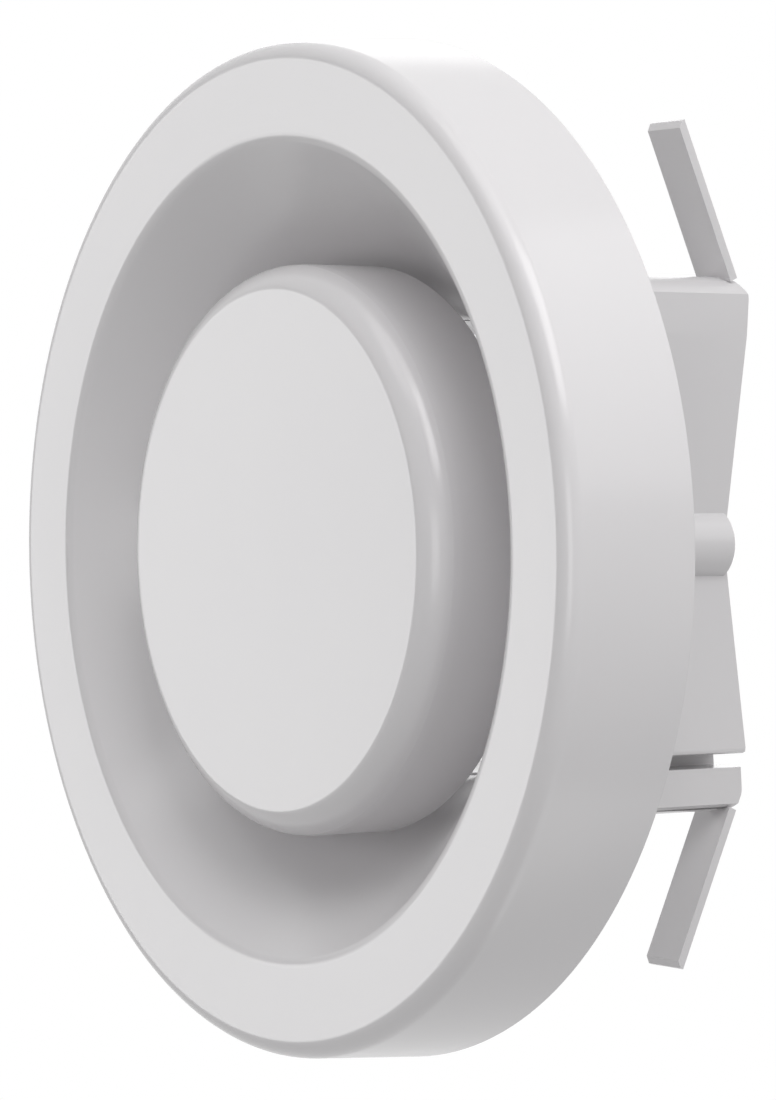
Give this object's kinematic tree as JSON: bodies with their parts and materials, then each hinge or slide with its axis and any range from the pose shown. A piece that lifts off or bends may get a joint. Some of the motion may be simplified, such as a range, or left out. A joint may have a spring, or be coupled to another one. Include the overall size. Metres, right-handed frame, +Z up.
{
  "type": "disc valve",
  "caption": "Round white plastic ventilation valve: a screw-adjusted disc in a funnel mouth, with a rear bridge whose spring fingers grip a round duct.",
  "frame": {"origin": "on the valve's axis, in the plane of the rim's back edge, which meets the wall", "axes": "+Y along the valve's axis into the duct, so the face looks along -Y; +X to the right seen from the room; +Z up along the bridge"},
  "size_m": [0.15, 0.0851, 0.15],
  "materials": {
    "white_plastic": "moulded, satin to semi-gloss",
    "zinc_steel": "zinc plated",
    "foam": "closed-cell foam"
  },
  "bodies": {
    "housing": {"valve_body": "white_plastic", "seal_ring": "foam", "bridge": "white_plastic"},
    "spindle": {"spindle": "zinc_steel"},
    "disc": {"disc": "white_plastic"},
    "washer": {"washer": "zinc_steel"},
    "nut": {"lock_nut": "zinc_steel"}
  },
  "joints": [
    {"name": "disc_travel", "type": "slide", "parent": "housing", "child": "spindle", "axis": [0, 1, 0], "range_m": [-0.0121, 0.0028]},
    {"name": "disc_turn", "type": "hinge", "parent": "spindle", "child": "disc", "pos_m": [0, 0, 0], "axis": [0, 1, 0], "range_deg": [-4320, 990]},
    {"name": "washer_travel", "type": "slide", "parent": "housing", "child": "washer", "axis": [0, 1, 0], "range_m": [-0.004, 0]},
    {"name": "nut_turn", "type": "hinge", "parent": "washer", "child": "nut", "pos_m": [0, 0, 0], "axis": [0, 1, 0], "range_deg": [-1450, 0]}
  ],
  "couplings": [
    {"joint": "disc_travel", "follows": "disc_turn", "m_per_rad": 0.00015915},
    {"joint": "nut_turn", "follows": "washer_travel", "rad_per_m": 6283.2}
  ]
}
